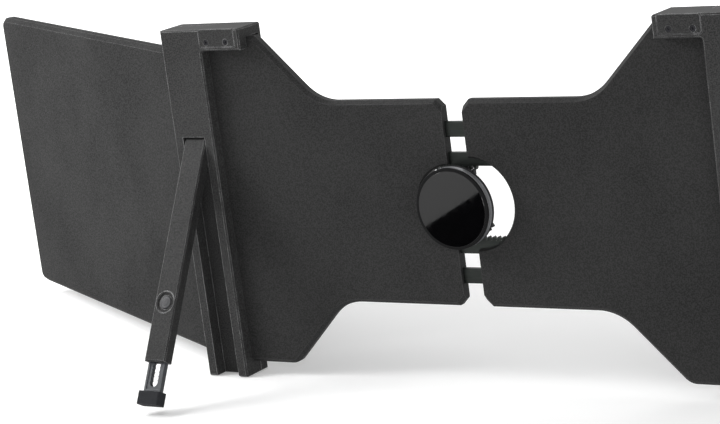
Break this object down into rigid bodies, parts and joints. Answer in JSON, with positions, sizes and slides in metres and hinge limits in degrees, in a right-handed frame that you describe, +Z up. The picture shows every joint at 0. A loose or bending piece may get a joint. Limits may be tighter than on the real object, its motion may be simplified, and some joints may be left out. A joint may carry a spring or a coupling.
{
  "type": "laptop screen extender",
  "caption": "Two hinged side screens on sliding bracket plates that hook over a laptop lid, with swing-out telescoping legs.",
  "frame": {"origin": "on the hub's axis, in the plane of the laptop lid's back face", "axes": "+Z up along the lid and the columns, +Y away from the lid to the back, +X to the user's right"},
  "size_m": [0.9093, 0.2431, 0.21],
  "materials": {
    "hub_plastic": "moulded, fine matt grain",
    "hub_metal": "turned rim, dark anodised, satin",
    "hub_gloss": "piano black, high gloss",
    "soft_pad": "matt silicone",
    "black_screw": "black oxide, hex drive",
    "gear_plastic": "moulded acetal",
    "plate_plastic": "fine textured grey-black ABS",
    "bar_steel": "black-coated flat steel with worn edges",
    "column_plastic": "fine textured grey-black ABS",
    "pin_steel": "ground steel",
    "leg_plastic": "fine textured grey-black ABS with bevelled edges",
    "foot_metal": "dark grey coated zinc alloy",
    "foot_rubber": "dense matt rubber",
    "button_plastic": "moulded, satin",
    "screen_plastic": "fine textured dark grey shell",
    "bezel_plastic": "black frame, fine grain",
    "screen_glass": "anti-glare display front, switched off",
    "board": "green circuit board",
    "port_metal": "stamped connector shells",
    "hinge_metal": "black-coated steel"
  },
  "bodies": {
    "hub": {"hub_base": "hub_plastic", "hub_cap": "hub_metal", "hub_face": "hub_gloss", "hub_pad": "soft_pad", "hub_screw": "black_screw"},
    "pinion": {"pinion": "gear_plastic"},
    "right_carriage": {"right_plate_shell": "plate_plastic", "right_plate_liner": "plate_plastic", "right_lid_pads": "soft_pad", "right_rack_bar": "bar_steel", "right_guide_bar": "bar_steel", "right_column_shell": "column_plastic", "right_column_cover": "column_plastic", "right_hook_cover": "column_plastic", "right_hook_screws": "black_screw", "right_hook_pad": "soft_pad", "right_plate_screws": "black_screw", "right_leg_pin": "pin_steel", "right_hinge_pins": "pin_steel"},
    "right_leg": {"right_leg_shell": "leg_plastic"},
    "right_foot": {"right_foot_bar": "foot_metal", "right_foot_block": "foot_rubber"},
    "right_lock": {"right_lock_button": "button_plastic"},
    "right_screen": {"right_screen_back": "screen_plastic", "right_screen_bezel": "bezel_plastic", "right_display_panel": "screen_glass", "right_driver_board": "board", "right_screen_ports": "port_metal", "right_hinge_leaves": "hinge_metal"},
    "right_power": {"right_power_key": "button_plastic"},
    "right_menu": {"right_menu_key": "button_plastic"},
    "left_carriage": {"left_plate_shell": "plate_plastic", "left_plate_liner": "plate_plastic", "left_lid_pads": "soft_pad", "left_rack_bar": "bar_steel", "left_guide_bar": "bar_steel", "left_column_shell": "column_plastic", "left_column_cover": "column_plastic", "left_hook_cover": "column_plastic", "left_hook_screws": "black_screw", "left_hook_pad": "soft_pad", "left_plate_screws": "black_screw", "left_leg_pin": "pin_steel", "left_hinge_pins": "pin_steel"},
    "left_leg": {"left_leg_shell": "leg_plastic"},
    "left_foot": {"left_foot_bar": "foot_metal", "left_foot_block": "foot_rubber"},
    "left_lock": {"left_lock_button": "button_plastic"},
    "left_screen": {"left_screen_back": "screen_plastic", "left_screen_bezel": "bezel_plastic", "left_display_panel": "screen_glass", "left_driver_board": "board", "left_screen_ports": "port_metal", "left_hinge_leaves": "hinge_metal"},
    "left_power": {"left_power_key": "button_plastic"},
    "left_menu": {"left_menu_key": "button_plastic"}
  },
  "joints": [
    {"name": "right_carriage_slide", "type": "slide", "parent": "hub", "child": "right_carriage", "axis": [1, 0, 0], "range_m": [-0.0067, 0.015]},
    {"name": "pinion_spin", "type": "hinge", "parent": "hub", "child": "pinion", "pos_m": [0, 0.0035, 0], "axis": [0, 1, 0], "range_deg": [-42.98, 19.2]},
    {"name": "right_leg_hinge", "type": "hinge", "parent": "right_carriage", "child": "right_leg", "pos_m": [0.1762, 0.0106, 0.0362], "axis": [1, 0, 0], "range_deg": [-30, 15]},
    {"name": "right_foot_slide", "type": "slide", "parent": "right_leg", "child": "right_foot", "axis": [0, 0.5, -0.866], "range_m": [-0.017, 0.02]},
    {"name": "right_lock_press", "type": "slide", "parent": "right_leg", "child": "right_lock", "axis": [0, -0.866, -0.5], "range_m": [0, 0.0008], "stiffness_N_per_m": 300, "springref_m": -0.002},
    {"name": "right_screen_hinge", "type": "hinge", "parent": "right_carriage", "child": "right_screen", "pos_m": [0.1933, -0.0076, 0], "axis": [0, 0, -1], "range_deg": [-28.95, 151.05]},
    {"name": "right_power_press", "type": "slide", "parent": "right_screen", "child": "right_power", "axis": [0, 0, 1], "range_m": [0, 0.0005], "stiffness_N_per_m": 400, "springref_m": -0.001},
    {"name": "right_menu_press", "type": "slide", "parent": "right_screen", "child": "right_menu", "axis": [0, 0, 1], "range_m": [0, 0.0005], "stiffness_N_per_m": 400, "springref_m": -0.001},
    {"name": "left_carriage_slide", "type": "slide", "parent": "hub", "child": "left_carriage", "axis": [-1, 0, 0], "range_m": [-0.0067, 0.015]},
    {"name": "left_leg_hinge", "type": "hinge", "parent": "left_carriage", "child": "left_leg", "pos_m": [-0.1762, 0.0106, 0.0362], "axis": [1, 0, 0], "range_deg": [0, 45]},
    {"name": "left_foot_slide", "type": "slide", "parent": "left_leg", "child": "left_foot", "axis": [0, 0, -1], "range_m": [0, 0.037]},
    {"name": "left_lock_press", "type": "slide", "parent": "left_leg", "child": "left_lock", "axis": [0, -1, 0], "range_m": [0, 0.0008], "stiffness_N_per_m": 300, "springref_m": -0.002},
    {"name": "left_screen_hinge", "type": "hinge", "parent": "left_carriage", "child": "left_screen", "pos_m": [-0.1933, -0.0119, 0], "axis": [0, 0, 1], "range_deg": [-28.95, 151.05]},
    {"name": "left_power_press", "type": "slide", "parent": "left_screen", "child": "left_power", "axis": [0, 0, 1], "range_m": [0, 0.0005], "stiffness_N_per_m": 400, "springref_m": -0.001},
    {"name": "left_menu_press", "type": "slide", "parent": "left_screen", "child": "left_menu", "axis": [0, 0, 1], "range_m": [0, 0.0005], "stiffness_N_per_m": 400, "springref_m": -0.001}
  ],
  "couplings": [
    {"joint": "pinion_spin", "follows": "right_carriage_slide", "rad_per_m": -50},
    {"joint": "left_carriage_slide", "follows": "right_carriage_slide", "ratio": 1}
  ]
}
